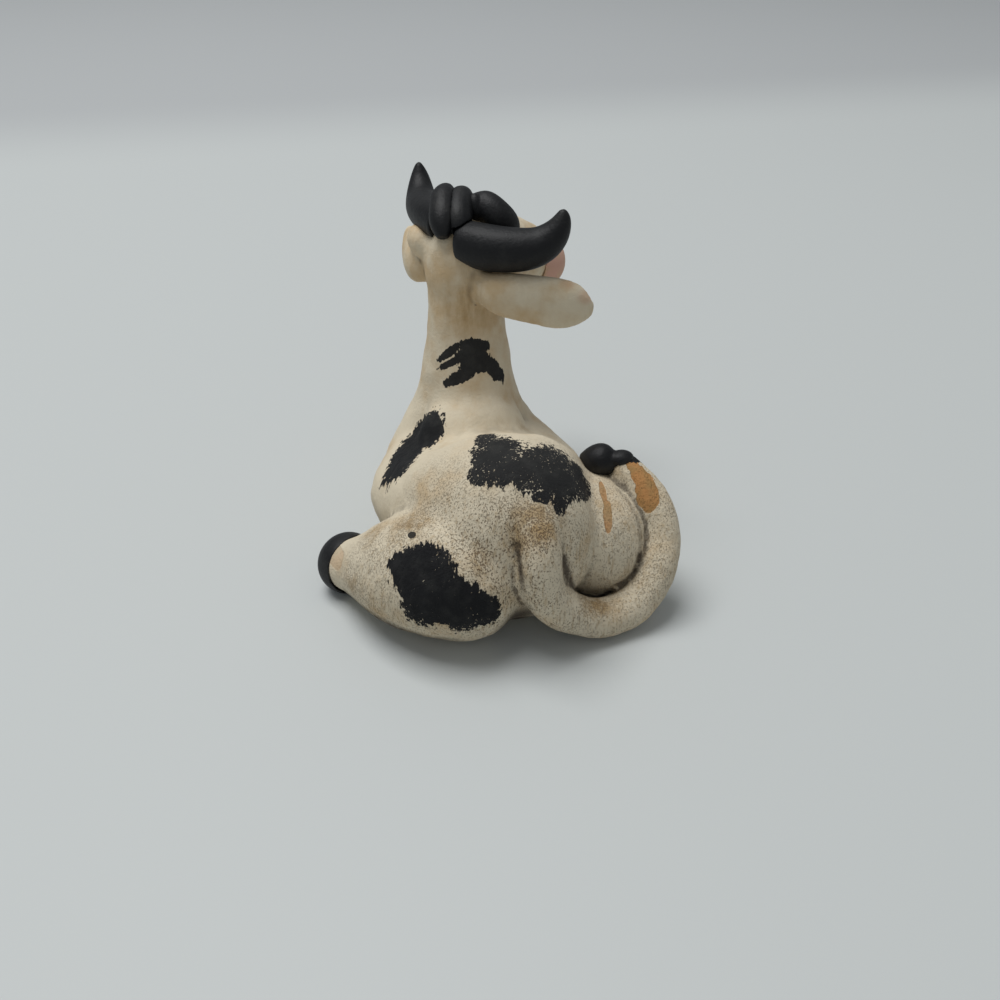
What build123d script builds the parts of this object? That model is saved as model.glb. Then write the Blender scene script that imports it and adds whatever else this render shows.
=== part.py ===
"""A cow lying down, modelled by hand in terracotta clay and painted.

The animal lies with its hind end at +Y and its chest at -Y, +X is its own left side and +Z is up.
Its neck stands upright and its head looks over its right shoulder. Rolled and pinched lumps of
clay make the figure, and each lump is a piece of its own, pressed face to face against the next.
Nothing on it moves. The underside is cut flat where the clay stood on the bench.
"""

import os
from math import cos, radians, sin

from build123d import *

# Driving sizes, in millimetres and degrees

# Trunk
body_length = 70.0
body_width = 45.0
body_height = 40.0

# Neck
neck_height = 41.0
neck_radius = 8.0
neck_lean = 3.0
neck_shift = 1.0

# Head
head_turn = 55.0
head_dip = 14.0
head_length = 36.5
head_width = 19.0
head_height = 20.0
muzzle_length = 12.0
muzzle_width = 15.0
muzzle_height = 13.0
nostril_radius = 0.9
eye_radius = 2.0

# Horns
horn_spread = 19.7
horn_rise = 8.6
horn_reach = 9.0
horn_radius = 4.4

# Ears
ear_length = 25.0
ear_width = 11.0
ear_thickness = 5.0
ear_droop = 8.5
ear_hollow = 1.8

# Hair
roll_radius = 2.8
roll_reach = 9.0
roll_rise = 12.0

# Hind legs
thigh_radius = 13.4
hind_leg_length = 27.0

# Forelegs
foreleg_length = 27.0
foreleg_radius = 5.6

# Hooves
hoof_length = 7.2
hoof_rim = 0.6
hoof_cleft = 1.2

# Tail
tail_radius = 4.2
tail_drop = 32.0
tail_swing = 28.5
tail_reach = 20.0
tuft_length = 7.6
tuft_radius = 3.3

# Shapes, as shares of the sizes above

# Trunk sections from the rump to the chest: along, across, lift, half width, half height
TRUNK_SHARES = [
    (0.422, -0.055, 0.48, 0.09, 0.12),
    (0.400, -0.055, 0.475, 0.20, 0.27),
    (0.336, -0.045, 0.47, 0.30, 0.41),
    (0.214, -0.027, 0.46, 0.38, 0.475),
    (0.114, -0.015, 0.435, 0.435, 0.455),
    (0.0, 0.0, 0.36, 0.495, 0.39),
    (-0.100, 0.01, 0.32, 0.515, 0.365),
    (-0.214, 0.005, 0.31, 0.475, 0.352),
    (-0.343, 0.0, 0.325, 0.39, 0.315),
    (-0.457, 0.0, 0.30, 0.28, 0.275),
    (-0.543, 0.0, 0.275, 0.13, 0.16),
]

# Neck sections from its foot to its top: height, lean, half width, half depth
NECK_SHARES = [
    (0.0, 0.0, 2.20, 1.45),
    (0.15, 0.1, 1.83, 1.42),
    (0.29, 0.25, 1.43, 1.34),
    (0.44, 0.4, 1.21, 1.21),
    (0.60, 0.6, 1.09, 1.07),
    (0.78, 0.8, 0.97, 0.97),
    (0.92, 0.95, 0.97, 0.97),
    (1.0, 1.0, 0.80, 0.80),
]

# Head sections from the back of the skull to the nose: along, lift, half width, half height
HEAD_SHARES = [
    (-0.225, 0.0, 0.11, 0.13),
    (-0.20, 0.0, 0.22, 0.27),
    (-0.14, 0.0, 0.34, 0.40),
    (-0.04, 0.0, 0.44, 0.48),
    (0.07, 0.0, 0.48, 0.50),
    (0.206, 0.03, 0.45, 0.47),
    (0.353, 0.05, 0.41, 0.42),
    (0.47, 0.04, 0.37, 0.37),
    (0.55, 0.03, 0.34, 0.33),
]

# Muzzle sections: along, half width, half height
MUZZLE_SHARES = [
    (0.0, 0.42, 0.44),
    (0.12, 0.48, 0.49),
    (0.35, 0.50, 0.50),
    (0.65, 0.475, 0.475),
    (0.86, 0.37, 0.37),
    (1.0, 0.17, 0.17),
]

# Horn lines in the level frame of the head: reach, spread, rise
HORN_LINE_SHARES = {
    "left": [
        (-0.32, 0.12, 0.30),
        (-0.16, 0.36, 0.28),
        (0.12, 0.63, 0.22),
        (0.45, 0.85, 0.27),
        (0.66, 0.96, 0.56),
        (0.72, 1.0, 1.0),
    ],
    "right": [
        (-0.42, 0.12, 0.0),
        (-0.26, 0.36, 0.0),
        (0.05, 0.63, 0.0),
        (0.45, 0.84, 0.14),
        (0.66, 0.94, 0.46),
        (0.72, 0.97, 0.9),
    ],
}
HORN_GIRTH_SHARES = {"left": 0.9, "right": 1.0}

# Ear sections from the root to the tip: along, set into the head, half width, half thickness
EAR_SHARES = [
    (-0.02, 0.26, 0.20, 0.32),
    (0.06, 0.13, 0.28, 0.44),
    (0.18, 0.03, 0.33, 0.50),
    (0.36, 0.0, 0.40, 0.50),
    (0.60, 0.0, 0.48, 0.46),
    (0.80, 0.0, 0.46, 0.38),
    (0.93, 0.0, 0.30, 0.26),
    (1.0, 0.0, 0.10, 0.10),
]

# Hair roll lines fanning over the crown: reach ahead, to the left, rise
ROLL_LINE_SHARES = {
    "hair_roll_back": [(0.16, 0.54, 1.1), (-0.08, 0.5, 1.06), (-0.36, 0.27, 0.96), (-0.61, 0.05, 0.82), (-0.83, -0.14, 0.62)],
    "hair_roll_middle": [(0.4, 0.33, 1.0), (0.16, 0.23, 1.02), (-0.17, 0.0, 0.95), (-0.4, -0.22, 0.83), (-0.6, -0.4, 0.68)],
    "hair_roll_right": [(0.22, 0.04, 0.97), (0.38, -0.19, 0.93), (0.43, -0.47, 0.83), (0.58, -0.67, 0.65), (0.76, -0.73, 0.47)],
}
ROLL_GIRTH_SHARES = {"hair_roll_back": 1.0, "hair_roll_middle": 1.0, "hair_roll_right": 1.125}

# Leg lines from the root to the hoof: out, ahead, down
LEFT_HIND_LINE_SHARES = [
    (-0.28, -0.06, 0.0),
    (0.0, 0.0, 0.0),
    (0.36, 0.12, 0.05),
    (0.65, 0.31, 0.15),
    (0.90, 0.555, 0.27),
    (1.02, 0.675, 0.325),
]
RIGHT_HIND_LINE_SHARES = [
    (-0.10, -0.15, 0.0),
    (0.0, 0.10, 0.0),
    (0.12, 0.45, 0.08),
    (0.24, 0.75, 0.18),
    (0.31, 1.0, 0.28),
]
FORELEG_LINE_SHARES = [
    (-0.10, -0.12, 0.0),
    (0.01, 0.18, 0.02),
    (0.02, 0.45, 0.07),
    (-0.04, 0.72, 0.13),
]

# Radii along the legs: share of the line, share of the radius
LEFT_HIND_TAPER_SHARES = [
    (0.0, 0.30),
    (0.045, 0.60),
    (0.125, 0.85),
    (0.25, 1.0),
    (0.375, 0.99),
    (0.515, 0.89),
    (0.64, 0.745),
    (0.765, 0.57),
    (0.875, 0.44),
    (0.945, 0.385),
    (0.985, 0.27),
    (1.0, 0.12),
]
HIND_TAPER_SHARES = [
    (0.0, 0.30),
    (0.05, 0.60),
    (0.14, 0.85),
    (0.28, 1.0),
    (0.42, 0.99),
    (0.58, 0.89),
    (0.72, 0.745),
    (0.86, 0.57),
    (1.0, 0.43),
]
FORELEG_TAPER_SHARES = [
    (0.0, 0.45),
    (0.08, 0.80),
    (0.22, 1.0),
    (0.45, 0.96),
    (0.70, 0.84),
    (1.0, 0.72),
]

# Hoof sections from the leg to the toe: along, radius
HOOF_SHARES = [
    (0.0, 0.94),
    (0.25, 1.0),
    (0.55, 0.96),
    (0.80, 0.78),
    (0.95, 0.48),
    (1.0, 0.25),
]
HOOF_CLEFT_SHARE = 0.35

# Tuft sections from the tail's end: along, sag towards the rump, radius
TUFT_SHARES = [
    (0.0, 0.0, 0.62),
    (0.18, 0.0, 0.80),
    (0.42, 0.0, 1.0),
    (0.66, 0.03, 0.90),
    (0.86, 0.08, 0.62),
    (1.0, 0.12, 0.25),
]

# Tail line from the rump to the tuft: swing to the right, reach ahead, drop
TAIL_LINE_SHARES = [
    (-0.01, 0.61, 0.02),
    (-0.01, 0.33, 0.03),
    (-0.01, 0.13, 0.13),
    (-0.01, 0.03, 0.28),
    (0.02, 0.04, 0.45),
    (0.12, 0.06, 0.6),
    (0.28, 0.09, 0.73),
    (0.48, 0.13, 0.8),
    (0.68, 0.19, 0.78),
    (0.82, 0.27, 0.7),
    (0.9, 0.38, 0.6),
    (0.94, 0.5, 0.49),
    (0.95, 0.63, 0.37),
    (0.9, 0.77, 0.25),
    (0.85, 0.89, 0.19),
    (0.79, 0.99, 0.14),
    (0.72, 1.07, 0.1),
]

# Where the tuft points, in the tail's own shares: swing to the right, reach ahead, drop
TUFT_AIM_SHARES = (0.536842, 1.19, 0.075)

# Where each piece joins, as shares of the trunk's width, length and height
NECK_FOOT_SHARES = (0.012, -0.28, 0.40)
LEFT_HIND_ROOT_SHARES = (0.10, 0.29, 0.335)
RIGHT_HIND_ROOT_SHARES = (0.35, 0.275, 0.32)
TAIL_ROOT_SHARES = (-0.08, 0.44, 0.74)
TAIL_HUB_SHARES = (-0.36, 0.36, 0.38)
FORELEG_ROOT_SHARES = (0.17, -0.40, 0.22)

# Each leg: its root, its line, its length, its radius and its taper
LEGS = {
    "left_hind_leg": (LEFT_HIND_ROOT_SHARES, LEFT_HIND_LINE_SHARES, hind_leg_length, thigh_radius, LEFT_HIND_TAPER_SHARES),
    "right_hind_leg": (RIGHT_HIND_ROOT_SHARES, RIGHT_HIND_LINE_SHARES, hind_leg_length, thigh_radius, HIND_TAPER_SHARES),
    "left_front_leg": (FORELEG_ROOT_SHARES, FORELEG_LINE_SHARES, foreleg_length, foreleg_radius, FORELEG_TAPER_SHARES),
    "right_front_leg": (FORELEG_ROOT_SHARES, FORELEG_LINE_SHARES, foreleg_length, foreleg_radius, FORELEG_TAPER_SHARES),
}

# Where each hoof starts on its leg, as a share of the line and of the leg's radius
HOOF_START_SHARES = {
    "left_hind_leg": (0.885, 0.43),
    "right_hind_leg": (1.0, 0.43),
    "left_front_leg": (1.0, 0.72),
    "right_front_leg": (1.0, 0.72),
}

# Hooves that turn off their leg's line: out, ahead, down
HOOF_AIM_SHARES = {"left_hind_leg": (0.47, 0.85, 0.24)}

# How far each ear is swept forward, in degrees
EAR_SWEEPS = {"left": 38.0, "right": 39.0}

# Places on the head, as shares of its length, width and height
HORN_ROOT_RISE_SHARE = 0.29
EAR_ROOT_SHARES = (-0.19, 0.34, -0.065)
EAR_HOLLOW_SHARE = 0.7
EYE_SHARES = (0.24, 0.40, 0.20)
MUZZLE_START_SHARE = 0.41
NOSTRIL_SHARES = (0.92, 0.24, 0.16)

UP = Vector(0, 0, 1)
SIDES = {"left": 1, "right": -1}

turn = radians(head_turn)
dip = radians(head_dip)
look = Vector(-sin(turn), -cos(turn), 0)
head_left = Vector(cos(turn), -sin(turn), 0)
nose_line = look * cos(dip) - UP * sin(dip)
head_up = look * sin(dip) + UP * cos(dip)


def trunk_place(shares):
    """A place given as shares of the trunk's width, length and height."""
    across, along, lift = shares
    return Vector(across * body_width, along * body_length, lift * body_height)


neck_foot = trunk_place(NECK_FOOT_SHARES)
head_centre = neck_foot + Vector(-neck_shift, -neck_lean, neck_height)


def head_place(ahead, aside, above):
    """A place ahead of the head's centre along its level look, to its left, and above it."""
    return head_centre + look * ahead + head_left * aside + UP * above


def smooth_line(points):
    """A smooth line through points."""
    with BuildLine() as line:
        Spline(*points)
    return line.line.edges()[0]


def across(line, share, steady):
    """The plane across a line at a share of its length, its X axis kept near a steady direction."""
    return Plane(origin=line @ share, x_dir=steady, z_dir=line % share)


def steps(count):
    """Evenly spaced shares of a line from its start to its end."""
    return [step / count for step in range(count + 1)]


def horn_taper(share):
    """The share of a horn's radius left at a share of its length: stout, then quickly to a tip."""
    return max((1 - share**3) ** 0.6, 0.12)


def roll_taper(share):
    """The share of a hair roll's radius at a share of its length: even, with rounded ends."""
    return 1 - 0.6 * abs(2 * share - 1) ** 3


def tail_taper(share):
    """The share of the tail's radius at a share of its length: thinner bit by bit, with a round end."""
    return (1.03 - 0.2 * share) * (1 - 0.42 * share**24)


# Trunk

with BuildPart() as torso:
    for along, aside, lift, half_width, half_height in TRUNK_SHARES:
        place = trunk_place((aside, along, lift))
        with BuildSketch(Plane(origin=place, x_dir=(1, 0, 0), z_dir=(0, -1, 0))):
            Ellipse(half_width * body_width, half_height * body_height)
    loft()
    split(bisect_by=Plane.XY, keep=Keep.TOP)
torso.part.label = "torso"

# Head

with BuildPart() as head:
    for along, lift, half_width, half_height in HEAD_SHARES:
        place = head_centre + nose_line * (along * head_length) + head_up * (lift * head_height)
        with BuildSketch(Plane(origin=place, x_dir=head_left, z_dir=nose_line)):
            Ellipse(half_width * head_width, half_height * head_height)
    loft()
head.part.label = "head"

# Neck

with BuildPart() as neck:
    for height, lean, half_width, half_depth in NECK_SHARES:
        place = neck_foot + Vector(-lean * neck_shift, -lean * neck_lean, height * neck_height)
        with BuildSketch(Plane(origin=place)):
            Ellipse(half_width * neck_radius, half_depth * neck_radius)
    loft()
    add(torso.part, mode=Mode.SUBTRACT)
    add(head.part, mode=Mode.SUBTRACT)
neck.part.label = "neck"

# Muzzle

muzzle_start = MUZZLE_START_SHARE * head_length
with BuildPart() as muzzle:
    for along, half_width, half_height in MUZZLE_SHARES:
        place = head_centre + nose_line * (muzzle_start + along * muzzle_length)
        with BuildSketch(Plane(origin=place, x_dir=head_left, z_dir=nose_line)):
            Ellipse(half_width * muzzle_width, half_height * muzzle_height)
    loft()
    add(head.part, mode=Mode.SUBTRACT)
    ahead, aside, above = NOSTRIL_SHARES
    nostril_row = head_centre + nose_line * (muzzle_start + ahead * muzzle_length) + head_up * (above * muzzle_height)
    with Locations(*(nostril_row + head_left * (sign * aside * muzzle_width) for sign in SIDES.values())):
        Sphere(nostril_radius, mode=Mode.SUBTRACT)
muzzle.part.label = "muzzle"

pieces = [torso.part, neck.part, head.part, muzzle.part]

# Eyes, horns and ears

crown_parts = [head.part]
for side, sign in SIDES.items():
    ahead, aside, above = EYE_SHARES
    eye_place = head_place(ahead * head_length, sign * aside * head_width, above * head_height)
    with BuildPart() as eye:
        with Locations(eye_place):
            Sphere(eye_radius)
        add(head.part, mode=Mode.SUBTRACT)
    eye.part.label = f"{side}_eye"
    pieces.append(eye.part)

    horn_line = smooth_line(
        head_place(
            reach * horn_reach,
            sign * spread * horn_spread,
            HORN_ROOT_RISE_SHARE * head_height + rise * horn_rise,
        )
        for reach, spread, rise in HORN_LINE_SHARES[side]
    )
    with BuildPart() as horn:
        for share in steps(10):
            with BuildSketch(across(horn_line, share, UP)):
                Circle(horn_taper(share) * HORN_GIRTH_SHARES[side] * horn_radius)
        loft()
        add(head.part, mode=Mode.SUBTRACT)
    horn.part.label = f"{side}_horn"
    crown_parts += [eye.part, horn.part]
    pieces.append(horn.part)

    sweep = radians(EAR_SWEEPS[side])
    droop = radians(ear_droop)
    outward = look * sin(sweep) + head_left * (sign * cos(sweep))
    ear_line = outward * cos(droop) - UP * sin(droop)
    ear_front = (look - ear_line * look.dot(ear_line)).normalized()
    ahead, aside, above = EAR_ROOT_SHARES
    ear_root = head_place(ahead * head_length, sign * aside * head_width, above * head_height)
    with BuildPart() as ear:
        for along, set_in, half_width, half_thickness in EAR_SHARES:
            place = ear_root + ear_line * (along * ear_length) + ear_front * (set_in * ear_length)
            with BuildSketch(Plane(origin=place, x_dir=UP, z_dir=ear_line)):
                Ellipse(half_width * ear_width, half_thickness * ear_thickness)
        loft()
        add(head.part, mode=Mode.SUBTRACT)
        add(neck.part, mode=Mode.SUBTRACT)
        for along, set_in, half_width, half_thickness in EAR_SHARES[3:-1]:
            depth = half_thickness * ear_thickness
            place = ear_root + ear_line * (along * ear_length) + ear_front * depth
            with BuildSketch(Plane(origin=place, x_dir=UP, z_dir=ear_line)):
                Ellipse(half_width * ear_width * EAR_HOLLOW_SHARE, half_thickness * ear_hollow)
        loft(mode=Mode.SUBTRACT)
    ear.part.label = f"{side}_ear"
    pieces.append(ear.part)

# Hair

for name, roll_shares in ROLL_LINE_SHARES.items():
    roll_line = smooth_line(
        head_place(reach * roll_reach, aside * roll_reach, rise * roll_rise) for reach, aside, rise in roll_shares
    )
    with BuildPart() as hair_roll:
        for share in steps(6):
            with BuildSketch(across(roll_line, share, head_left)):
                Circle(roll_taper(share) * ROLL_GIRTH_SHARES[name] * roll_radius)
        loft()
        for other in crown_parts:
            add(other, mode=Mode.SUBTRACT)
    hair_roll.part.label = name
    crown_parts.append(hair_roll.part)
    pieces.append(hair_roll.part)

# Legs and hooves

built = [torso.part, neck.part]
for leg, (root_shares, line_shares, length, radius, taper) in LEGS.items():
    across_share, along_share, lift_share = root_shares
    sign = SIDES[leg.split("_")[0]]
    root = trunk_place((sign * across_share, along_share, lift_share))
    leg_line = smooth_line(
        root + Vector(sign * out * length, -ahead * length, -down * length) for out, ahead, down in line_shares
    )
    with BuildPart() as limb:
        for share, radius_share in taper:
            with BuildSketch(across(leg_line, share, UP)):
                Circle(radius_share * radius)
        loft()
        split(bisect_by=Plane.XY, keep=Keep.TOP)
        for other in built:
            add(other, mode=Mode.SUBTRACT)
    limb.part.label = leg
    built.append(limb.part)
    pieces.append(limb.part)

    start_share, start_radius = HOOF_START_SHARES[leg]
    hoof_end = start_radius * radius + hoof_rim
    toe = across(leg_line, start_share, UP)
    if leg in HOOF_AIM_SHARES:
        out, ahead, down = HOOF_AIM_SHARES[leg]
        toe = Plane(origin=toe.origin, x_dir=UP, z_dir=(sign * out, -ahead, -down))
    with BuildPart() as hoof:
        for along, radius_share in HOOF_SHARES:
            with BuildSketch(toe.offset(along * hoof_length)):
                Circle(radius_share * hoof_end)
        loft()
        with BuildSketch(toe.offset(hoof_length)):
            Rectangle(2 * hoof_end, hoof_cleft)
        extrude(amount=-HOOF_CLEFT_SHARE * hoof_length, mode=Mode.SUBTRACT)
        split(bisect_by=Plane.XY, keep=Keep.TOP)
        for other in built:
            add(other, mode=Mode.SUBTRACT)
    hoof.part.label = leg.replace("leg", "hoof")
    built.append(hoof.part)
    pieces.append(hoof.part)

# Tail and its tuft

tail_root = trunk_place(TAIL_ROOT_SHARES)


def tail_place(shares):
    """A place given as shares of the tail's swing, reach and drop from its root."""
    swing, reach, drop = shares
    return tail_root + Vector(-swing * tail_swing, -reach * tail_reach, -drop * tail_drop)


tail_line = smooth_line(tail_place(shares) for shares in TAIL_LINE_SHARES)
tail_hub = trunk_place(TAIL_HUB_SHARES)
with BuildPart() as tail:
    for share in steps(20):
        with BuildSketch(across(tail_line, share, tail_hub - tail_line @ share)):
            Circle(tail_taper(share) * tail_radius)
    loft()
    split(bisect_by=Plane.XY, keep=Keep.TOP)
    for other in built:
        add(other, mode=Mode.SUBTRACT)
tail.part.label = "tail"
built.append(tail.part)
pieces.append(tail.part)

tuft_start = tail_line @ 1
tuft_line = (tail_place(TUFT_AIM_SHARES) - tuft_start).normalized()
with BuildPart() as tail_tuft:
    for along, sag, radius_share in TUFT_SHARES:
        place = tuft_start + tuft_line * (along * tuft_length) - UP * (sag * tuft_length)
        with BuildSketch(Plane(origin=place, x_dir=UP, z_dir=tuft_line)):
            Circle(radius_share * tuft_radius)
    loft()
    for other in built:
        add(other, mode=Mode.SUBTRACT)
tail_tuft.part.label = "tail_tuft"
built.append(tail_tuft.part)
pieces.append(tail_tuft.part)

# The origin goes to the middle of the figure's foot, on the bench

boxes = [piece.bounding_box() for piece in pieces]
across_middle = (min(box.min.X for box in boxes) + max(box.max.X for box in boxes)) / 2
along_middle = (min(box.min.Y for box in boxes) + max(box.max.Y for box in boxes)) / 2
foot_centre = Vector(across_middle, along_middle, 0)
print("origin moved by", foot_centre)

os.makedirs("parts", exist_ok=True)
for piece in pieces:
    piece.position = piece.position - foot_centre
    print(piece.label, len(piece.solids()), round(piece.volume, 1))
    export_step(piece, f"parts/{piece.label}.step")
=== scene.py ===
"""A small cow of painted terracotta, lying down, modelled by hand from lumps of clay.

The rolled and pinched lumps are pressed together and smoothed over with wet fingers, painted cream
with black patches, stained ochre, and chipped in a few places down to the orange clay.
"""

import math
from functools import reduce

import bpy
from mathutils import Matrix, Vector


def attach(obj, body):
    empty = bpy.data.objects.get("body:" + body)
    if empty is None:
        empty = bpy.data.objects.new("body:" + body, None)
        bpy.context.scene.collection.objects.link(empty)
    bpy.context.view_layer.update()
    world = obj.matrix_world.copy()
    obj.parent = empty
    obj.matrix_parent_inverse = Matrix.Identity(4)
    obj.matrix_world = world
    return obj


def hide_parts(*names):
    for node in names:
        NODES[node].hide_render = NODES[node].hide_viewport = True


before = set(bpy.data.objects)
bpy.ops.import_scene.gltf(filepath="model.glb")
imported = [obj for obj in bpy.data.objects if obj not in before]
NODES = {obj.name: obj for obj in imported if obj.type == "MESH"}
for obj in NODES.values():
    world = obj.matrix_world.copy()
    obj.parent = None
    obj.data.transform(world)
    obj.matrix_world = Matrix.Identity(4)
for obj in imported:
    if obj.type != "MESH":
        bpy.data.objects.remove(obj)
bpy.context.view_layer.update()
MM = 0.001  # metres

bl_info = {
    "name": "Terracotta Cow",
    "version": (1, 0, 0),
    "blender": (4, 5, 0),
    "location": "3D View > Sidebar > Cow",
    "description": "Builds a painted terracotta cow and the table it lies on",
    "category": "Object",
}


# Sizes and colours that a user can change


class CowClaySizes(bpy.types.PropertyGroup):
    """Sizes of the clay work."""

    joint_grain: bpy.props.FloatProperty(
        name="Joint grain",
        description="Mesh size while the lumps are smoothed together",
        default=0.0008,
        unit="LENGTH",
    )
    skin_grain: bpy.props.FloatProperty(
        name="Skin grain",
        description="Mesh size of the finished clay skin",
        default=0.00056,
        unit="LENGTH",
    )
    lump_grain: bpy.props.FloatProperty(
        name="Lump grain",
        description="Mesh size of the small lumps",
        default=0.00028,
        unit="LENGTH",
    )
    joint_passes: bpy.props.IntProperty(
        name="Joint passes",
        description="How often a wet finger passes over the joints",
        default=9,
        min=0,
    )
    dent_depth: bpy.props.FloatProperty(
        name="Dent depth",
        description="Depth of the finger dents in the clay",
        default=0.0005,
        unit="LENGTH",
    )
    dent_width: bpy.props.FloatProperty(
        name="Dent width",
        description="Width of the finger dents in the clay",
        default=0.009,
        unit="LENGTH",
    )


class CowPaint(bpy.types.PropertyGroup):
    """Colours of the clay and its paint."""

    cream: bpy.props.StringProperty(
        name="Cream", description="Cream paint, sRGB hex", default="#d6cab2"
    )
    warm_cream: bpy.props.StringProperty(
        name="Warm cream", description="Cream paint rubbed thin", default="#c4ab86"
    )
    ochre: bpy.props.StringProperty(
        name="Ochre", description="Ochre wash in the hollows", default="#9a7a48"
    )
    pit: bpy.props.StringProperty(
        name="Pits", description="Brown dirt in the fine pits", default="#6a563f"
    )
    inner_ear: bpy.props.StringProperty(
        name="Inner ear", description="Dusty orange in the ears", default="#b5825f"
    )
    # Painted shade and brown dirt in the creases, grooves and hollows under the body and leg
    shade_and_grime: bpy.props.StringProperty(
        name="Grime", description="Brown dirt in pits and creases", default="#3f352b"
    )
    black: bpy.props.StringProperty(
        name="Black", description="Black paint of the patches", default="#0c0d10"
    )
    worn_black: bpy.props.StringProperty(
        name="Worn black", description="Black paint rubbed thin", default="#343432"
    )
    pink: bpy.props.StringProperty(
        name="Pink", description="Dusty pink paint of the nose", default="#cea28f"
    )
    clay: bpy.props.StringProperty(
        name="Clay", description="Fired clay where the paint is off", default="#b58350"
    )
    worn_clay: bpy.props.StringProperty(
        name="Worn clay", description="Dusty fired clay", default="#9c7c4e"
    )


class CowStage(bpy.types.PropertyGroup):
    """Table, lamps and camera."""

    table: bpy.props.StringProperty(
        name="Table", description="Colour of the table top", default="#c4c8c7"
    )
    # Painted shade: the table top darkens to this colour far behind
    table_far_shade: bpy.props.StringProperty(
        name="Far table", description="Colour of the far table", default="#b4b7b8"
    )
    key_power: bpy.props.FloatProperty(
        name="Key lamp", description="Power of the lamp overhead, watts", default=20.5
    )
    fill_power: bpy.props.FloatProperty(
        name="Fill lamp", description="Power of the lamp in front, watts", default=0.04
    )
    sky: bpy.props.FloatProperty(
        name="Room light", description="Strength of the room's light", default=0.30
    )
    lens: bpy.props.FloatProperty(
        name="Lens", description="Focal length on a 36 mm sensor", default=33.48
    )


# Shading helpers

# The noise texture's scale for lumps one millimetre wide
NOISE_SCALE = 0.5
# A soft spot fades out from here to here, in its own half widths
SPOT_FADE = (1.15, 0.2)
# The share of a line's width that is fully dirty
LINE_CORE_SHARE = 0.2


def linear(code):
    """An sRGB hex colour as linear RGBA."""
    shares = [int(code[at : at + 2], 16) / 255 for at in (1, 3, 5)]
    return [
        share / 12.92 if share <= 0.04045 else ((share + 0.055) / 1.055) ** 2.4 for share in shares
    ] + [1.0]


def add_node(tree, kind, feeds=None, **settings):
    """Adds a node with its settings; feeds gives a value or another socket to its inputs."""
    made = tree.nodes.new(kind)
    for name, value in settings.items():
        setattr(made, name, value)
    for socket, value in (feeds or {}).items():
        if isinstance(value, bpy.types.NodeSocket):
            tree.links.new(value, made.inputs[socket])
        else:
            made.inputs[socket].default_value = value
    return made


def new_material(name, finish):
    """A material with its node tree cleared but for a shader of the given finish."""
    material = bpy.data.materials.new(name)
    material.use_nodes = True
    tree = material.node_tree
    tree.nodes.clear()
    shader = add_node(tree, "ShaderNodeBsdfPrincipled", finish)
    add_node(tree, "ShaderNodeOutputMaterial", {"Surface": shader.outputs[0]})
    return material, tree, shader


def surfaced(tree, shader, colour, height, bump):
    """Gives a shader its colour, and the fine relief of a height."""
    tree.links.new(colour, shader.inputs["Base Color"])
    made = add_node(tree, "ShaderNodeBump", {"Height": height, **bump})
    tree.links.new(made.outputs[0], shader.inputs["Normal"])


def millimetres(tree):
    """Object coordinates in millimetres."""
    place = add_node(tree, "ShaderNodeTexCoord").outputs["Object"]
    scale = [1 / MM] * 3
    return add_node(tree, "ShaderNodeMapping", {"Vector": place, "Scale": scale}).outputs[0]


def seen_from(tree, place, centre=(0, 0, 0), turn=(0, 0, 0), size=(1, 1, 1)):
    """A place as seen from a frame of its own, by the frame's centre, turn in radians and size."""
    feeds = {"Vector": place, "Location": centre, "Rotation": turn, "Scale": size}
    return add_node(tree, "ShaderNodeMapping", feeds, vector_type="TEXTURE").outputs[0]


def vector_math(tree, how, feeds):
    """The Vector Math node of one operation."""
    return add_node(tree, "ShaderNodeVectorMath", feeds, operation=how)


def noise(tree, place, name):
    """One of the NOISES, from 0 to 1."""
    size, detail, rough, *stretch = NOISES[name]
    if stretch:
        place = seen_from(tree, place, size=stretch)
    feeds = {"Vector": place, "Scale": NOISE_SCALE / size, "Detail": detail, "Roughness": rough}
    return add_node(tree, "ShaderNodeTexNoise", feeds).outputs["Fac"]


def ramp(tree, value, low, high, out_low=0.0, out_high=1.0):
    """Value eased from low and high to out_low and out_high."""
    ends = {"From Min": low, "From Max": high, "To Min": out_low, "To Max": out_high}
    feeds = {"Value": value, **ends}
    return add_node(tree, "ShaderNodeMapRange", feeds, interpolation_type="SMOOTHSTEP").outputs[0]


def eased(tree, value, name):
    """A value turned into a share by one of the EASES."""
    return ramp(tree, value, *EASES[name])


def combine(tree, how, *values):
    """Numbers put together by Math nodes, in turn."""
    return reduce(
        lambda first, second: add_node(
            tree, "ShaderNodeMath", {0: first, 1: second}, operation=how
        ).outputs[0],
        values,
    )


def weighed(tree, value, name):
    """A number times one of the WEIGHTS."""
    return combine(tree, "MULTIPLY", value, WEIGHTS[name])


def centred(tree, value, name):
    """A noise moved from 0..1 to -0.5..0.5, times one of the WEIGHTS."""
    return weighed(tree, combine(tree, "SUBTRACT", value, 0.5), name)


def over(tree, share, below, above):
    """A colour laid over another by a share; a colour is a socket or a hex code."""
    below, above = (linear(one) if isinstance(one, str) else one for one in (below, above))
    return add_node(
        tree, "ShaderNodeMix", {0: share, 6: below, 7: above}, data_type="RGBA"
    ).outputs[2]


def rubbed(tree, place, spots):
    """How strongly soft spots reach a place: centre in millimetres, half widths, strength."""
    shares = []
    for centre, sizes, strength in spots:
        local = seen_from(tree, place, centre, size=sizes)
        reach = vector_math(tree, "LENGTH", {0: local}).outputs["Value"]
        shares.append(ramp(tree, reach, *SPOT_FADE, 0.0, strength))
    return combine(tree, "MAXIMUM", *shares)


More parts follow.
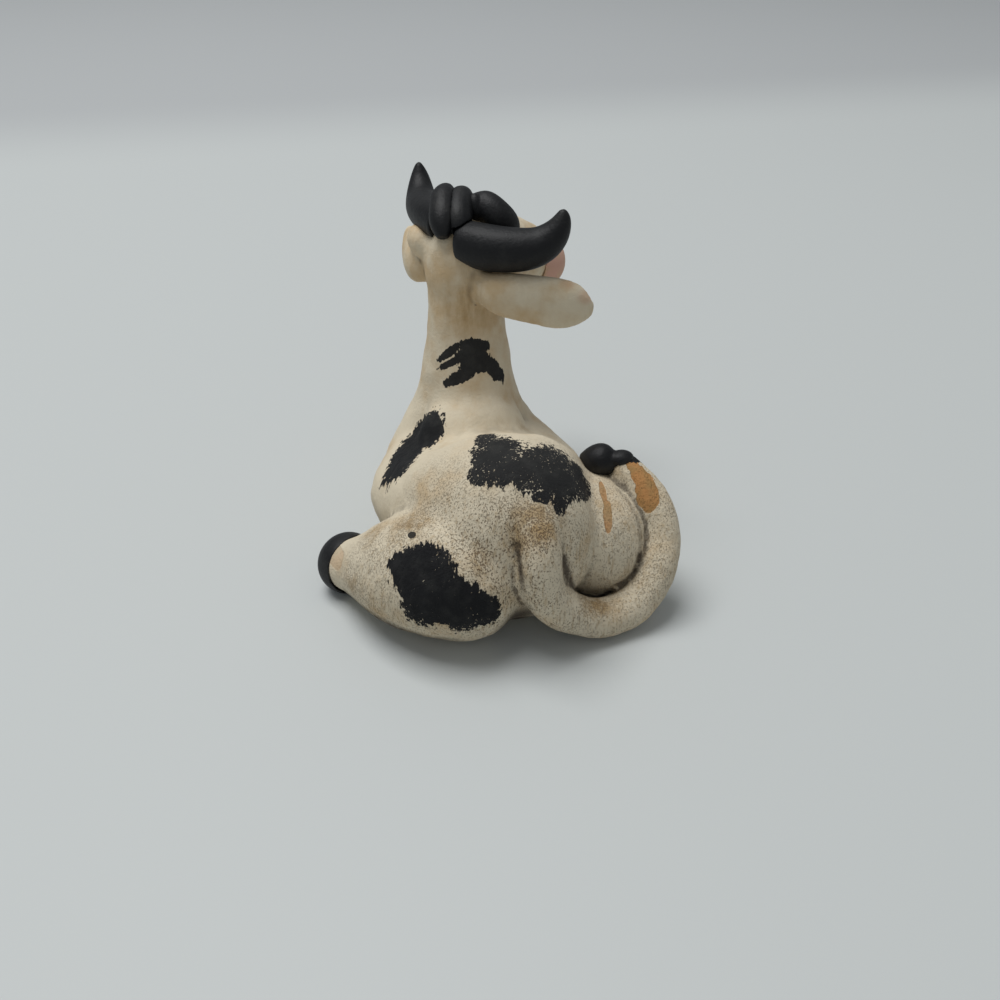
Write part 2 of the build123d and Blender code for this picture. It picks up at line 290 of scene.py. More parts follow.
def lined(tree, place, points, width, strength):
    """How strongly a line through points reaches a place: strength on it, 0 at its width."""
    reaches = []
    for start, end in zip(points, points[1:]):
        along = Vector(end) - Vector(start)
        offset = vector_math(tree, "SUBTRACT", {0: place, 1: start}).outputs[0]
        share = vector_math(tree, "DOT_PRODUCT", {0: offset, 1: along}).outputs["Value"]
        feeds = {0: share, 1: 1 / along.length_squared}
        share = add_node(tree, "ShaderNodeMath", feeds, operation="MULTIPLY", use_clamp=True)
        foot = vector_math(tree, "SCALE", {0: along, "Scale": share.outputs[0]}).outputs[0]
        reaches.append(vector_math(tree, "DISTANCE", {0: offset, 1: foot}).outputs["Value"])
    nearest = combine(tree, "MINIMUM", *reaches)
    return ramp(tree, nearest, width, width * LINE_CORE_SHARE, 0.0, strength)


def brushed_on(tree, place, spot, ragged, bristly=False):
    """How far inside a brushed patch a place lies: over 0 inside, under 0 outside.

    The ragged noise moves the edge, and the hairs of a bristly brush drag it up and down.
    """
    turn = [math.radians(angle) for angle in spot["turn"]]
    plane = seen_from(tree, place, spot["centre"], turn)
    reaches = []
    for across, up, half_width, half_height, angle in spot["dabs"]:
        sizes = (half_width, half_height, spot["depth"])
        local = seen_from(tree, plane, (across, up, 0), (0, 0, math.radians(angle)), sizes)
        reaches.append(vector_math(tree, "LENGTH", {0: local}).outputs["Value"])
    inside = combine(tree, "SUBTRACT", 1.0, combine(tree, "MINIMUM", *reaches))
    if bristly:
        hairs = centred(tree, noise(tree, plane, "hairs"), "hairs")
        inside = combine(tree, "ADD", inside, hairs)
    return combine(tree, "ADD", inside, ragged)


# The finish of each material

TERRACOTTA_FINISH = {"Roughness": 0.85, "IOR": 1.4}
SLIP_FINISH = {"Roughness": 0.55, "IOR": 1.38}
PINK_FINISH = {"Roughness": 0.78, "IOR": 1.45}
LAMINATE_FINISH = {"Roughness": 0.6}

# The fine relief of each material: the distance in metres
TERRACOTTA_BUMP = {"Strength": 0.7, "Distance": 0.00032}
SLIP_BUMP = {"Strength": 0.45, "Distance": 0.00022}
PINK_BUMP = {"Strength": 0.4, "Distance": 0.0002}

# The noises: width of their lumps in millimetres, detail, roughness, and stretch along each axis
NOISES = {
    "chip edge": (0.9, 3, 0.5),
    "cream clouds": (5, 4, 0.6),
    "wash runs": (1.1, 4, 0.65, 1, 1, 3),
    "brush lines": (0.28, 2, 0.5, 1, 1, 8),
    "pits": (0.14, 2, 0.6, 1, 1, 1.7),
    "crowds of pits": (3.5, 3, 0.5),
    "smudges": (0.5, 3, 0.6),
    "bare clay": (1.6, 3, 0.5),
    "patch edge": (1.0, 4, 0.65),
    "hairs": (0.32, 3, 0.6, 1, 6, 1),
    "flecks": (0.22, 4, 0.7, 1, 1, 1.6),
    "crowds of flecks": (2.0, 2, 0.5),
    "thin ink": (1.1, 3, 0.5),
    "clay grain": (0.3, 3, 0.6),
    "clay lumps": (1.6, 2, 0.5),
    "slip wear": (2.4, 4, 0.6),
    "slip grain": (0.35, 3, 0.6),
    "slip lumps": (1.8, 2, 0.5),
    "pink wear": (2.0, 4, 0.6),
    "pink grain": (0.5, 3, 0.6),
}

# How a number becomes a share: eased from one number to another, and the shares there if not 0, 1.
# Where it is a height or a length, it is in millimetres.
EASES = {
    "warm neck": (28, 52, 0.0, 0.12),
    "warm cream": (0.45, 0.8),
    "wash runs": (0.48, 0.82),
    "hind end": (10, 30),
    "below the back": (40, 30, 0.0, 1.0),
    "brush lines": (0.5, 0.72, 0.0, 0.4),
    "crowds of pits": (0.32, 0.7, 0.0, 0.06),
    "pits": (0.56, 0.70),
    "dirty pits": (0.0, 1.0, 0.45, 0.82),
    "inner ears": (0.1, 0.5),
    "creases": (0.495, 0.465),
    "smudges": (0.3, 0.5, 0.6, 1.0),
    "chips": (-0.03, 0.06),
    "worn clay": (0.35, 0.7),
    "patches": (-0.02, 0.05),
    "bubble": (0.0, 0.1, 0.0, 0.95),
    "thin ink": (0.4, 0.75, 0.0, 0.35),
    "thin ink high up": (22, 40, 0.0, 0.4),
    "slip wear": (0.45, 0.8, 0.0, 0.5),
    "pink wear": (0.4, 0.8),
    # Painted shade on the far table
    "far table": (-0.30, -0.43),
}

# How much of each noise or layer goes in
WEIGHTS = {
    "chip edge": 0.7,
    "runs in the wash": 0.30,
    "wash": 0.8,
    "pits in the wash": 0.10,
    "inner ears": 0.8,
    "creases": 0.7,
    "patch edge": 0.65,
    "hairs": 0.9,
    "crowds of flecks": 0.3,
    "fewer flecks inside": 0.1,
    "bubble edge": 0.8,
    "clay grain": 0.6,
    "brush line relief": 0.9,
    "pit relief": 0.8,
    "chip relief": 1.2,
    "slip lumps": 1.4,
}

# The share of the wash that lies everywhere, and how softly a fleck ends
WASH_FLOOR = 0.12
FLECK_EDGE = 0.04

# The brushed patches: centre in millimetres, turn of the patch's own plane in degrees, how deep it
# reaches in millimetres, and dabs on that plane: across, up, half width, half height, turn
PATCHES = {
    "rump": {
        "centre": (-5.41, 30.82, 36.23),
        "turn": (56.2, 0, 165.4),
        "depth": 18,
        "dabs": [
            (-6.4, 0.5, 5.5, 4.8, 0),
            (1.5, -0.9, 6.9, 4.9, 0),
            (6.6, -2.7, 4.1, 4.1, 0),
            (4.6, -6.7, 1.4, 2.2, 0),
            (1.4, -5.4, 2.2, 1.4, 0),
            (-9.0, 4.3, 2.5, 1.8, 0),
            (-10.0, -2.0, 2.0, 2.1, 0),
            (9.4, -4.0, 2.0, 2.6, 0),
        ],
    },
    "haunch": {
        "centre": (12.91, 40.51, 18.57),
        "turn": (48.6, 0, 172.5),
        "depth": 18,
        "dabs": [
            (-3.6, 3.3, 6.1, 5.4, 0),
            (-2.8, -1.7, 5.6, 4.9, 0),
            (1.8, -2.6, 6.6, 4.8, -32),
            (6.8, -4.1, 3.2, 2.9, 0),
            (-7.9, 5.0, 2.3, 2.5, 0),
        ],
    },
    "neck": {
        "centre": (0.0, -2.67, 40.07),
        "turn": (62.5, 0, 170.1),
        "depth": 8,
        "dabs": [
            (1.0, 3.1, 3.4, 1.7, 0),
            (-4.2, 2.0, 3.1, 0.9, 35),
            (-4.0, -0.2, 2.9, 0.8, 25),
            (0.8, 0.4, 3.8, 3.0, -10),
            (-2.2, -3.0, 4.0, 1.4, 25),
            (4.8, -1.6, 3.8, 1.7, -50),
        ],
    },
    "shoulder": {
        "centre": (13.35, 2.4, 24.4),
        "turn": (57.4, 0, 174.4),
        "depth": 16,
        "dabs": [(-0.4, -0.3, 9.6, 2.3, 51), (3.6, 3.4, 4.4, 2.9, 55)],
    },
}
TAIL_END = {
    "centre": (-26.6, 19.6, 28.2),
    "turn": (55.1, 0, 157.2),
    "depth": 3,
    "dabs": [(0.2, 0.3, 3.2, 1.7, -20)],
}

# A burst bubble in the paint
BUBBLE = {
    "centre": (17.15, 30.6, 24.0),
    "turn": (52.0, 0, 174.9),
    "depth": 3,
    "dabs": [(0, 0, 0.8, 0.7, 0)],
}

# Places where the paint is off, laid out like the patches
TAIL_CHIP = {
    "centre": (-28.36, 26.87, 24.67),
    "turn": (55.1, 0, 157.2),
    "depth": 9,
    "dabs": [(0.5, -0.6, 2.3, 4.0, 16), (-1.0, 2.2, 1.6, 3.0, 38), (-2.7, 4.3, 2.0, 1.2, -45)],
}
HAUNCH_STREAK = {
    "centre": (-20.12, 29.0, 23.72),
    "turn": (53.8, 0, 159.8),
    "depth": 7,
    "dabs": [(0.3, -2.0, 0.85, 3.4, 8), (-0.9, 2.4, 0.6, 2.8, 18)],
}
HOOF_STEP = {
    "centre": (31.0, 17.6, 10.6),
    "turn": (51.0, 0, -179.1),
    "depth": 5,
    "dabs": [(-0.2, 0.2, 1.6, 3.2, 8)],
}

# How bare each place is, as a share
CHIPS = [(TAIL_CHIP, 1.0), (HAUNCH_STREAK, 0.85), (HOOF_STEP, 0.35)]

# Over which share the noise of the flecks leaves a patch bare
FLECKS = {"rump": 0.745, "haunch": 0.79}

# Where the ochre wash pooled and dried, and painted shade low on the left hind leg:
# centre, half widths, strength
WASHES_AND_LEG_SHADE = [
    ((-3.5, 39.5, 30.5), (10.0, 7.0, 6.5), 0.75),
    ((-1.0, 39.0, 27.5), (4.0, 5.0, 7.0), 0.75),
    ((17.0, 27.5, 24.3), (8.0, 6.0, 4.5), 0.7),
    ((24.0, 23.5, 19.5), (5.0, 5.0, 5.0), 0.5),
    # Low on the left hind leg: ochre, and painted shade on its lower side
    ((26.5, 27.0, 11.0), (7.0, 8.0, 4.5), 0.5),
    ((6.2, 38.6, 22.7), (3.0, 4.0, 4.0), 0.6),
    ((-16.0, 39.5, 9.0), (8.0, 4.0, 3.5), 0.8),
    ((-27.0, 37.4, 11.0), (5.0, 5.0, 5.0), 0.45),
    ((-7.0, 2.0, 26.5), (9.0, 5.0, 4.0), 0.35),
    ((1.0, -3.5, 51.0), (8.0, 5.0, 8.0), 0.55),
    ((8.0, 12.0, 26.0), (10.0, 6.0, 6.0), 0.3),
]

# Where the pits hold most dirt: centre, half widths, strength
PITTED = [((1.0, 42.0, 20.0), (19.0, 22.0, 22.0), 1.0)]

# The hollows of the ears: centre, half widths, strength
INNER_EARS = [
    ((-15.4, -3.3, 53.9), (6.6, 6.6, 6.6), 1.0),
    ((2.8, -29.0, 53.9), (6.6, 6.6, 6.6), 1.0),
    ((-21.8, 4.0, 55.0), (3.8, 3.6, 2.6), 0.3),
    ((-18.2, 3.6, 57.6), (3.4, 3.2, 1.8), 0.26),
]

# Painted shade and dirt along the grooves and under the leg: points in millimetres, width, strength
SHADED_GROOVE_LINES = [
    (
        [
            (-23.5, 25.2, 24.2), (-24.8, 27.7, 22.7), (-25.9, 29.9, 20.6),
            (-26.3, 31.7, 17.8), (-26.0, 33.2, 14.0),
        ],
        1.0,
        0.35,
    ),
    (
        [
            (-26.0, 33.2, 14.0), (-25.0, 33.5, 10.2), (-21.8, 33.1, 6.3),
            (-19.0, 30.9, 2.5), (-15.3, 31.0, 4.1),
        ],
        1.5,
        0.95,
    ),
    ([(-8.9, 39.3, 21.2), (-9.9, 39.0, 16.7), (-11.5, 37.5, 11.5), (-15.3, 31.0, 4.1)], 1.3, 0.9),
    (
        [
            (-0.1, 39.9, 24.8), (-0.3, 41.5, 21.0), (-0.2, 42.5, 17.5),
            (-0.4, 42.7, 14.0), (-0.9, 42.0, 9.0),
        ],
        1.25,
        0.95,
    ),
    ([(-0.5, 42.5, 12.5), (-0.8, 40.5, 8.5), (-1.0, 37.5, 5.0)], 2.6, 1.0),
    (
        [
            (29.5, 23.5, 4.2), (27.2, 29.5, 5.0), (23.0, 34.0, 4.8),
            (18.0, 37.6, 3.8), (12.0, 40.5, 3.0),
        ],
        3.6,
        0.9,
    ),
]

# Painted shade and dirt dark in the hollows under the body and leg: centre, half widths, strength
SHADED_HOLLOWS = [
    ((-1.6, 39.0, 6.0), (6.5, 5.0, 6.0), 1.0),
    ((-0.8, 36.5, 4.0), (6.0, 5.0, 4.5), 1.0),
    ((26.0, 33.0, 3.0), (8.0, 7.0, 3.6), 0.9),
]


def cream_coat(tree, place, axes, paint):
    """The cream colour, warm in clouds, stained by the ochre wash and painted shade; and the wash.
    """
    cloud = noise(tree, place, "cream clouds")
    cloud = combine(tree, "ADD", cloud, eased(tree, axes["Z"], "warm neck"))
    colour = over(tree, eased(tree, cloud, "warm cream"), paint.cream, paint.warm_cream)
    wash = rubbed(tree, place, WASHES_AND_LEG_SHADE)
    runs = noise(tree, place, "wash runs")
    runs = combine(tree, "ADD", runs, weighed(tree, wash, "runs in the wash"))
    stain = combine(
        tree, "MULTIPLY", eased(tree, runs, "wash runs"), combine(tree, "ADD", wash, WASH_FLOOR)
    )
    return over(tree, weighed(tree, stain, "wash"), colour, paint.ochre), wash


def brush_and_pits(tree, place, axes, paint, colour, wash):
    """Lays brush lines and dirty pits on the hind end; gives the colour, lines and pits."""
    low = eased(tree, axes["Z"], "below the back")
    hind = combine(tree, "MULTIPLY", eased(tree, axes["Y"], "hind end"), low)
    lines = combine(tree, "MULTIPLY", noise(tree, place, "brush lines"), hind)
    colour = over(tree, eased(tree, lines, "brush lines"), colour, paint.ochre)
    crowd = eased(tree, noise(tree, place, "crowds of pits"), "crowds of pits")
    crowd = combine(tree, "ADD", crowd, weighed(tree, wash, "pits in the wash"))
    pits = combine(tree, "ADD", noise(tree, place, "pits"), crowd)
    pits = combine(tree, "MULTIPLY", eased(tree, pits, "pits"), hind)
    dirty = eased(tree, rubbed(tree, place, PITTED), "dirty pits")
    return over(tree, combine(tree, "MULTIPLY", pits, dirty), colour, paint.pit), lines, pits


def shade_and_dirt(tree, place):
    """How dark painted shade and dirt lie in the creases, hollows, grooves and under the leg."""
    point = add_node(tree, "ShaderNodeNewGeometry").outputs["Pointiness"]
    shares = [weighed(tree, eased(tree, point, "creases"), "creases"), rubbed(tree, place, SHADED_HOLLOWS)]
    smudge = eased(tree, noise(tree, place, "smudges"), "smudges")
    for points, width, strength in SHADED_GROOVE_LINES:
        line = lined(tree, place, points, width, strength)
        shares.append(combine(tree, "MULTIPLY", line, smudge))
    return combine(tree, "MAXIMUM", *shares)


def black_patches(tree, place, edge):
    """Where the black patches lie, with ragged brush edges and bare flecks."""
    ragged = centred(tree, noise(tree, place, "patch edge"), "patch edge")
    shares = []
    for key, spot in {**PATCHES, "tail end": TAIL_END}.items():
        field = brushed_on(tree, place, spot, ragged, bristly=True)
        patch = eased(tree, field, "patches")
        if key in FLECKS:
            crowd = weighed(tree, noise(tree, place, "crowds of flecks"), "crowds of flecks")
            fleck = combine(tree, "ADD", noise(tree, place, "flecks"), crowd)
            fleck = combine(tree, "SUBTRACT", fleck, weighed(tree, field, "fewer flecks inside"))
            solid = ramp(tree, fleck, FLECKS[key] + FLECK_EDGE, FLECKS[key])
            patch = combine(tree, "MULTIPLY", patch, solid)
        shares.append(patch)
    bubble = brushed_on(tree, place, BUBBLE, weighed(tree, edge, "bubble edge"))
    return combine(tree, "MAXIMUM", *shares, eased(tree, bubble, "bubble"))


def painted_terracotta(name):
    """Fired clay under matte cream tempera, with black patches, an ochre wash and fine pits.

    Paint laid by brush over grainy terracotta scatters light evenly, so it is rough with almost no
    shine. Dirt sits in its pits, shade is painted dark into its creases and grooves, and chips show
    the orange clay.
    """
    paint = bpy.context.scene.cow_paint
    material, tree, shader = new_material(name, TERRACOTTA_FINISH)
    place = millimetres(tree)
    axes = add_node(tree, "ShaderNodeSeparateXYZ", {"Vector": place}).outputs
    edge = centred(tree, noise(tree, place, "chip edge"), "chip edge")

    colour, wash = cream_coat(tree, place, axes, paint)
    colour, lines, pits = brush_and_pits(tree, place, axes, paint, colour, wash)

    # Dusty orange inside the ears, and painted shade with dirt in the creases and hollows
    inside = eased(tree, rubbed(tree, place, INNER_EARS), "inner ears")
    colour = over(tree, weighed(tree, inside, "inner ears"), colour, paint.inner_ear)
    colour = over(tree, shade_and_dirt(tree, place), colour, paint.shade_and_grime)

    # Chips down to the clay
    shares = []
    for spot, share in CHIPS:
        mask = eased(tree, brushed_on(tree, place, spot, edge), "chips")
        shares.append(combine(tree, "MULTIPLY", mask, share))
    chipped = combine(tree, "MAXIMUM", *shares)
    worn = eased(tree, noise(tree, place, "bare clay"), "worn clay")
    colour = over(tree, chipped, colour, over(tree, worn, paint.clay, paint.worn_clay))

    # Black patches, thinner high up
    black = black_patches(tree, place, edge)
    thin = eased(tree, noise(tree, place, "thin ink"), "thin ink")
    thin = combine(tree, "ADD", thin, eased(tree, axes["Z"], "thin ink high up"))
    colour = over(tree, black, colour, over(tree, thin, paint.black, paint.worn_black))

    # Grain of the clay under the paint, its brush lines, its pits, and the step at a chip's edge
    rough = weighed(tree, noise(tree, place, "clay grain"), "clay grain")
    rough = combine(tree, "ADD", rough, noise(tree, place, "clay lumps"))
    rough = combine(tree, "ADD", rough, weighed(tree, lines, "brush line relief"))
    rough = combine(tree, "SUBTRACT", rough, weighed(tree, pits, "pit relief"))
    rough = combine(tree, "SUBTRACT", rough, weighed(tree, chipped, "chip relief"))
    surfaced(tree, shader, colour, rough, TERRACOTTA_BUMP)
    return material


def black_slip(name):
    """Black paint laid thickly on fired clay: a soft dark satin, dusty where fingers rub it."""
    paint = bpy.context.scene.cow_paint
    material, tree, shader = new_material(name, SLIP_FINISH)
    place = millimetres(tree)
    worn = eased(tree, noise(tree, place, "slip wear"), "slip wear")
    colour = over(tree, worn, paint.black, paint.worn_black)
    lumps = weighed(tree, noise(tree, place, "slip lumps"), "slip lumps")
    rough = combine(tree, "ADD", noise(tree, place, "slip grain"), lumps)
    surfaced(tree, shader, colour, rough, SLIP_BUMP)
    return material


def dusty_pink(name):
    """Pink tempera on the nose, rubbed thin so that the warm cream shows through."""
    paint = bpy.context.scene.cow_paint
    material, tree, shader = new_material(name, PINK_FINISH)
    place = millimetres(tree)
    worn = eased(tree, noise(tree, place, "pink wear"), "pink wear")
    colour = over(tree, worn, paint.pink, paint.warm_cream)
    surfaced(tree, shader, colour, noise(tree, place, "pink grain"), PINK_BUMP)
    return material


def matte_laminate(name):
    """A pale table top of matte laminate, even and dull, with shade painted a little darker far
    behind.
    """
    stage = bpy.context.scene.cow_stage
    material, tree, shader = new_material(name, LAMINATE_FINISH)
    place = add_node(tree, "ShaderNodeTexCoord").outputs["Object"]
    far = add_node(tree, "ShaderNodeSeparateXYZ", {"Vector": place}).outputs["Y"]
    colour = over(tree, eased(tree, far, "far table"), stage.table, stage.table_far_shade)
    tree.links.new(colour, shader.inputs["Base Color"])
    return material


# Modelling helpers

# Corners of a mesh nearer than this are one, in metres
WELD_REACH = 0.000002
COIL_SEGMENTS, COIL_RINGS = 32, 16
STROKE_FACTOR = 0.5
DENT_DETAIL = 2
# The steps in which a finger's touch fades out
TOUCH_STEPS = 8


def only(piece):
    """Leaves one piece selected and active."""
    bpy.ops.object.select_all(action="DESELECT")
    piece.select_set(True)
    bpy.context.view_layer.objects.active = piece


def joined(piece, *others):
    """Joins other meshes into a piece."""
    bpy.ops.object.select_all(action="DESELECT")
    for one in (piece, *others):
        one.select_set(True)
    bpy.context.view_layer.objects.active = piece
    if others:
        bpy.ops.object.join()
    return piece


def kneaded(name, nodes):
    """A copy of the solids' meshes, joined, with their loose triangles merged."""
    copies = []
    for node in nodes:
        copy = bpy.data.objects.new(name, NODES[node].data.copy())
        bpy.context.scene.collection.objects.link(copy)
        copy.data.materials.clear()
        copies.append(copy)
    piece = joined(*copies)
    piece.name = name
    bpy.ops.object.mode_set(mode="EDIT")
    bpy.ops.mesh.select_all(action="SELECT")
    bpy.ops.mesh.remove_doubles(threshold=WELD_REACH)
    bpy.ops.object.mode_set(mode="OBJECT")
    return piece


def luted(piece, centre, sizes):
    """Lays a coil of clay into a joint, by its centre and half sizes in millimetres."""
    bpy.ops.object.select_all(action="DESELECT")
    bpy.ops.mesh.primitive_uv_sphere_add(
        segments=COIL_SEGMENTS, ring_count=COIL_RINGS, radius=MM
    )
    coil = bpy.context.active_object
    bpy.ops.object.mode_set(mode="EDIT")
    bpy.ops.transform.resize(value=sizes)
    bpy.ops.transform.translate(value=Vector(centre) * MM)
    bpy.ops.object.mode_set(mode="OBJECT")
    joined(piece, coil)


def finish_modifier(piece, kind, **settings):
    """Adds a modifier to a piece and applies it."""
    only(piece)
    modifier = piece.modifiers.new(kind.title(), kind)
    for name, value in settings.items():
        setattr(modifier, name, value)
    bpy.ops.object.modifier_apply(modifier=modifier.name)


def wet_smoothed(piece, grain_size, passes):
    """Runs the lumps of a piece together into one skin and strokes it smooth."""
    finish_modifier(piece, "REMESH", mode="VOXEL", voxel_size=grain_size, adaptivity=0.0)
    if passes:
        finish_modifier(piece, "SMOOTH", factor=STROKE_FACTOR, iterations=passes)


def finger_dents(piece, depth, width):
    """Presses shallow finger dents into a piece."""
    dents = bpy.data.textures.new(piece.name + "_dents", "CLOUDS")
    dents.noise_scale = width
    dents.noise_depth = DENT_DETAIL
    finish_modifier(
        piece,
        "DISPLACE",
        texture=dents,
        texture_coords="LOCAL",
        strength=depth * 2,
        mid_level=0.5,
        direction="NORMAL",
    )
    bpy.data.textures.remove(dents)


def touched(piece, places):
    """A vertex group around places in millimetres: full at a place, fading out at its reach."""
    group = piece.vertex_groups.new(name="touched")
    levels = {}
    spots = [(Vector(centre) * MM, reach * MM) for centre, reach in places]
    for vertex in piece.data.vertices:
        share = max(1 - (vertex.co - centre).length / reach for centre, reach in spots)
        if share > 0:
            levels.setdefault(math.ceil(share * TOUCH_STEPS), []).append(vertex.index)
    for level, indices in levels.items():
        share = level / TOUCH_STEPS
        group.add(indices, share * share * (3 - 2 * share), "REPLACE")
    return group.name


def stroked(piece, places, passes):
    """Strokes a piece smooth around places."""
    group = touched(piece, places)
    finish_modifier(
        piece, "SMOOTH", vertex_group=group, factor=STROKE_FACTOR, iterations=passes
    )
    piece.vertex_groups.clear()


def pressed(piece, places, depth):
    """Presses a piece in around places, by a depth in millimetres."""
    finish_modifier(
        piece,
        "DISPLACE",
        vertex_group=touched(piece, places),
        strength=-depth * MM,
        mid_level=0.0,
        direction="NORMAL",
    )
    piece.vertex_groups.clear()


def laid_in(piece, material, slot, *nodes):
    """Sets a finished piece down flat and gives it its material and place in the frame."""
    for vertex in piece.data.vertices:
        vertex.co.z = max(vertex.co.z, 0.0)
    piece.data.materials.clear()
    piece.data.materials.append(material)
    only(piece)
    bpy.ops.object.shade_smooth()
    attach(piece, "root")
    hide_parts(*nodes)
    return piece


# One operator for each piece or group of like pieces

# Places that a finger strokes, with its reach, in millimetres, and how often it passes
TAIL_ROOT_STROKES = [
    ((-5.5, 38.5, 32.5), 6.5),
    ((-8.5, 38.5, 28.0), 5.5),
    ((-4.5, 36.0, 35.0), 6.0),
]
TAIL_ROOT_PASSES = 40
EAR_ROOT_STROKES = [
    ((-2.5, -2.5, 55.5), 4.5),
    ((-2.5, -3.0, 52.0), 3.5),
    ((7.0, -13.5, 57.0), 3.5),
    ((7.0, -20.0, 58.5), 6.5),
]
EAR_ROOT_PASSES = 25
HORN_ROOT_STROKES = [((3.4, -6.0, 63.0), 8.0)]
HORN_ROOT_PASSES = 350
NAPE_STROKES = [((0.5, 2.5, 30.0), 14.0), ((-8.0, 0.0, 27.0), 9.0), ((8.5, 2.0, 28.0), 9.0)]
NAPE_PASSES = 60
SKIN_PASSES = 2
LUMP_PASSES = 3

# Coils and lobes of clay that are added: centre and half sizes in millimetres
LOBES = {
    "tail_tuft": ((-25.6, 19.9, 27.9), (2.5, 2.0, 1.5)),
    "hair_roll_right": ((-3.2, -12.2, 67.9), (1.7, 2.1, 3.0)),
}
EAR_COIL = ((7.2, -17.5, 60.8), (2.6, 4.6, 3.2))
NAPE_COIL = ((0.3, -0.3, 26.6), (11.5, 5.6, 5.6))

# The groove between the tail and the left haunch: places, their reach and depth in millimetres
TAIL_GROOVE_DEPTH = 0.6
TAIL_GROOVE = [
    ((-0.1, 40.0, 25.4), 2.0),
    ((-0.2, 40.8, 23.8), 2.2),
    ((-0.3, 41.6, 22.2), 2.2),
    ((-0.3, 42.3, 20.4), 2.2),
    ((-0.3, 42.8, 18.6), 2.2),
    ((-0.3, 43.1, 16.8), 2.2),
    ((-0.4, 43.2, 15.0), 2.2),
    ((-0.5, 42.9, 13.0), 2.2),
]

# The lumps that run into one skin, and those laid on when it is firm
SKIN_NODES = [
    "torso",
    "neck",
    "head",
    "left_hind_leg",
    "right_hind_leg",
    "left_front_leg",
    "right_front_leg",
]
LATE_NODES = ["tail", "left_ear", "right_ear"]
BLACK_WORDS = ("horn", "hair", "hoof", "tuft", "eye")

# The table's side, the lamps and the camera, in metres
TABLE_SIDE = 6
KEY_SIDE, KEY_SPOT, KEY_AIM = 0.9, (0.35, -0.30, 1.6), (0, 0, 0.02)
FILL_SIDE, FILL_SPOT, FILL_AIM = 0.6, (0.1, 0.7, 0.45), (0, 0, 0.03)
ROOM_COLOUR = (0.93, 0.97, 1.0, 1)
CAMERA_SPOT = (0.02911, 0.16342, 0.128)
CAMERA_DIRECTION = (-0.16821, -0.79133, -0.58779)
CAMERA_CLIP = 0.01
SENSOR_WIDTH = 36  # millimetres


class CowSkin(bpy.types.Operator):
    """Trunk, neck, skull, ears, legs and tail, smoothed into one clay skin"""

    bl_idname = "cow.skin"
    bl_label = "Clay Skin"

    def execute(self, context):
        sizes = context.scene.cow_clay
        skin = kneaded("clay_skin", SKIN_NODES)
        luted(skin, *NAPE_COIL)
        luted(skin, *EAR_COIL)
        wet_smoothed(skin, sizes.joint_grain, sizes.joint_passes)
        joined(skin, kneaded("late_rolls", LATE_NODES))
        wet_smoothed(skin, sizes.skin_grain, SKIN_PASSES)
        stroked(skin, TAIL_ROOT_STROKES, TAIL_ROOT_PASSES)
        stroked(skin, EAR_ROOT_STROKES, EAR_ROOT_PASSES)
        pressed(skin, TAIL_GROOVE, TAIL_GROOVE_DEPTH)
        stroked(skin, NAPE_STROKES, NAPE_PASSES)
        finger_dents(skin, sizes.dent_depth, sizes.dent_width)
        paint = painted_terracotta("cream tempera on terracotta")
        laid_in(skin, paint, "cream_paint", *SKIN_NODES, *LATE_NODES)
        return {"FINISHED"}


class CowMuzzle(bpy.types.Operator):
    """The muzzle, a round lump with two nostrils, painted pink"""

    bl_idname = "cow.muzzle"
    bl_label = "Muzzle"

    def execute(self, context):
        sizes = context.scene.cow_clay
        muzzle = kneaded("muzzle_clay", ["muzzle"])
        wet_smoothed(muzzle, sizes.lump_grain, LUMP_PASSES)
        laid_in(muzzle, dusty_pink("pink tempera on terracotta"), "pink_paint", "muzzle")
        return {"FINISHED"}


class CowBlackLumps(bpy.types.Operator):
    """Horns, hair, hooves, tuft and eyes, all painted black"""

    bl_idname = "cow.black_lumps"
    bl_label = "Horns, Hair and Hooves"

    def execute(self, context):
        sizes = context.scene.cow_clay
        paint = black_slip("black slip on terracotta")
        for node in sorted(NODES):
            if NODES[node] and any(word in node for word in BLACK_WORDS):
                lump = kneaded(f"{node}_clay", [node])
                if node in LOBES:
                    luted(lump, *LOBES[node])
                wet_smoothed(lump, sizes.lump_grain, LUMP_PASSES)
                if node == "right_horn":
                    stroked(lump, HORN_ROOT_STROKES, HORN_ROOT_PASSES)
                laid_in(lump, paint, "black_paint", node)
        return {"FINISHED"}


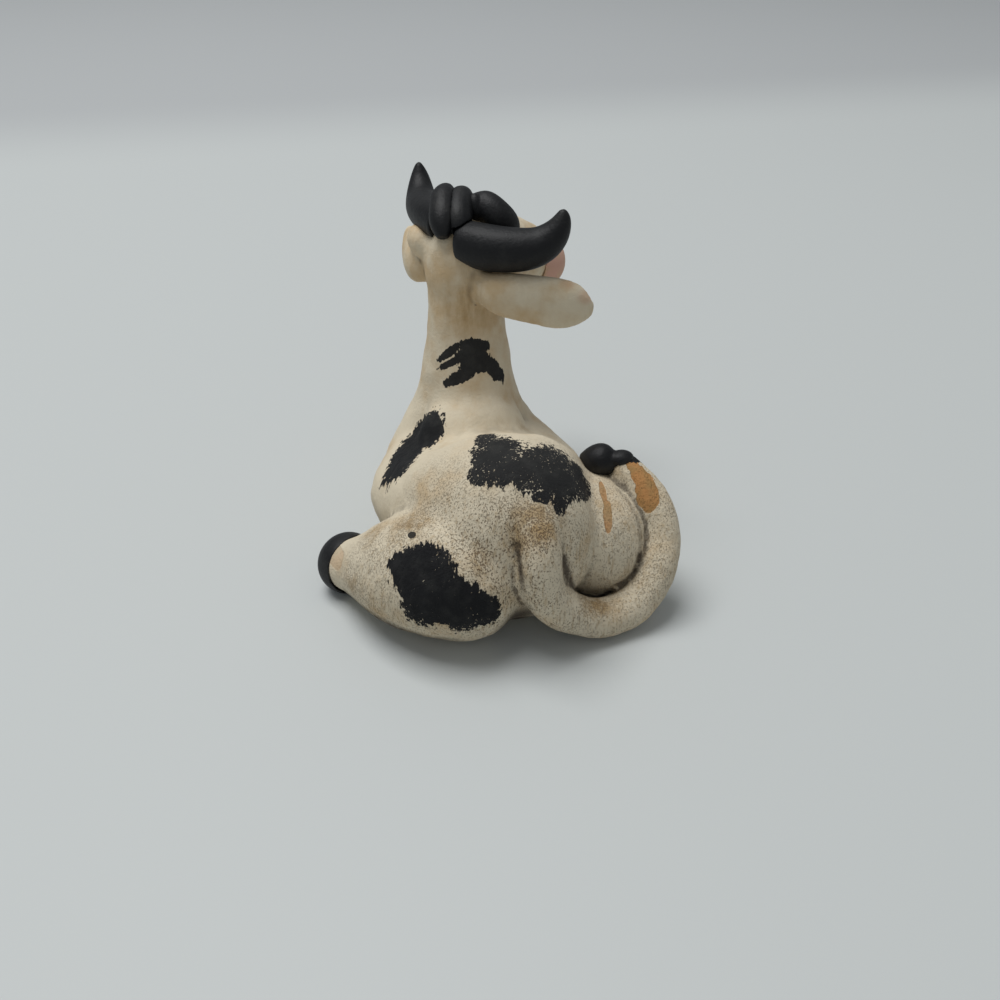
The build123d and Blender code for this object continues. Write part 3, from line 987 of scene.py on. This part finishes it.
class CowTable(bpy.types.Operator):
    """A plain pale table, soft lamps and the camera"""

    bl_idname = "cow.table"
    bl_label = "Table and Lamps"

    def execute(self, context):
        stage = context.scene.cow_stage
        bpy.ops.object.select_all(action="DESELECT")
        bpy.ops.mesh.primitive_plane_add(size=TABLE_SIDE, location=(0, 0, 0))
        table = context.active_object
        table.name = "table_top"
        table.data.materials.append(matte_laminate("matte laminate"))

        world = bpy.data.worlds.new("room")
        context.scene.world = world
        world.use_nodes = True
        room = world.node_tree.nodes["Background"]
        room.inputs["Color"].default_value = ROOM_COLOUR
        room.inputs["Strength"].default_value = stage.sky

        for name, power, size, spot, aim in (
            ("key_lamp", stage.key_power, KEY_SIDE, KEY_SPOT, KEY_AIM),
            ("fill_lamp", stage.fill_power, FILL_SIDE, FILL_SPOT, FILL_AIM),
        ):
            lamp = bpy.data.lights.new(name, "AREA")
            lamp.energy = power
            lamp.size = size
            holder = bpy.data.objects.new(name, lamp)
            context.scene.collection.objects.link(holder)
            holder.location = spot
            direction = Vector(aim) - Vector(spot)
            holder.rotation_euler = direction.to_track_quat("-Z", "Y").to_euler()

        camera = bpy.data.cameras.new("camera")
        camera.sensor_width = SENSOR_WIDTH
        camera.lens = stage.lens
        camera.clip_start = CAMERA_CLIP
        holder = bpy.data.objects.new("camera", camera)
        context.scene.collection.objects.link(holder)
        holder.location = CAMERA_SPOT
        direction = Vector(CAMERA_DIRECTION)
        holder.rotation_euler = direction.to_track_quat("-Z", "Y").to_euler()
        context.scene.camera = holder
        context.scene.view_settings.view_transform = "Standard"
        return {"FINISHED"}


class CowPanel(bpy.types.Panel):
    """The cow's panel in the sidebar"""

    bl_idname = "VIEW3D_PT_cow"
    bl_label = "Terracotta Cow"
    bl_space_type = "VIEW_3D"
    bl_region_type = "UI"
    bl_category = "Cow"

    def draw(self, context):
        for group in (context.scene.cow_clay, context.scene.cow_paint, context.scene.cow_stage):
            box = self.layout.box()
            for name in group.__annotations__:
                box.prop(group, name)
        for operator in OPERATORS:
            self.layout.operator(operator.bl_idname)


GROUPS = {"cow_clay": CowClaySizes, "cow_paint": CowPaint, "cow_stage": CowStage}
OPERATORS = [CowSkin, CowMuzzle, CowBlackLumps, CowTable]


def register():
    """Registers the classes and hangs the settings on the scene."""
    for made in [*GROUPS.values(), *OPERATORS, CowPanel]:
        bpy.utils.register_class(made)
    for name, group in GROUPS.items():
        setattr(bpy.types.Scene, name, bpy.props.PointerProperty(type=group))


def unregister():
    """Takes the settings and the classes away again."""
    for name in GROUPS:
        delattr(bpy.types.Scene, name)
    for made in reversed([*GROUPS.values(), *OPERATORS, CowPanel]):
        bpy.utils.unregister_class(made)


def main():
    """Builds the cow and its table."""
    register()
    bpy.ops.cow.skin()
    bpy.ops.cow.muzzle()
    bpy.ops.cow.black_lumps()
    bpy.ops.cow.table()


if __name__ == "__main__":
    main()
